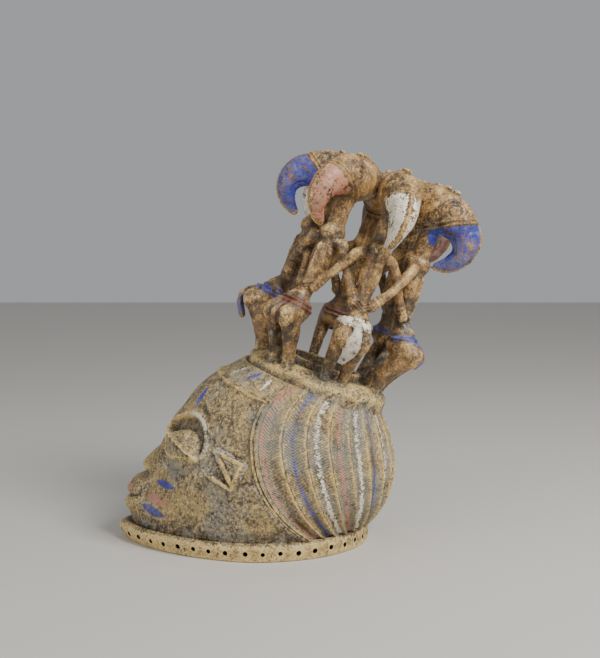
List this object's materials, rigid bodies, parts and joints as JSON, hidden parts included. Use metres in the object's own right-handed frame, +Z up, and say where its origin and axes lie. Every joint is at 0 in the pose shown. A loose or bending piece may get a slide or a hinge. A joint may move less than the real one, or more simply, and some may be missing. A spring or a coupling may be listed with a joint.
{
  "type": "gelede mask",
  "caption": "Hollow carved wooden helmet mask with a calm face, ribbed hair and a ring of bird-headed kneeling figures on its crown, standing on a holed rim.",
  "frame": {"origin": "on the ground under the middle of the mask's outer box, in the plane of the rim's underside", "axes": "+Z up from the rim to the figures' crests, -Y out of the mask's face, +X to the mask's left side"},
  "size_m": [0.2434, 0.4254, 0.4581],
  "materials": {
    "carved_wood": "hand-carved wood, dark patina worn to tan on the high places, traces of blue, red and white paint"
  },
  "bodies": {
    "root": {"gelede_mask": "carved_wood"}
  },
  "joints": []
}
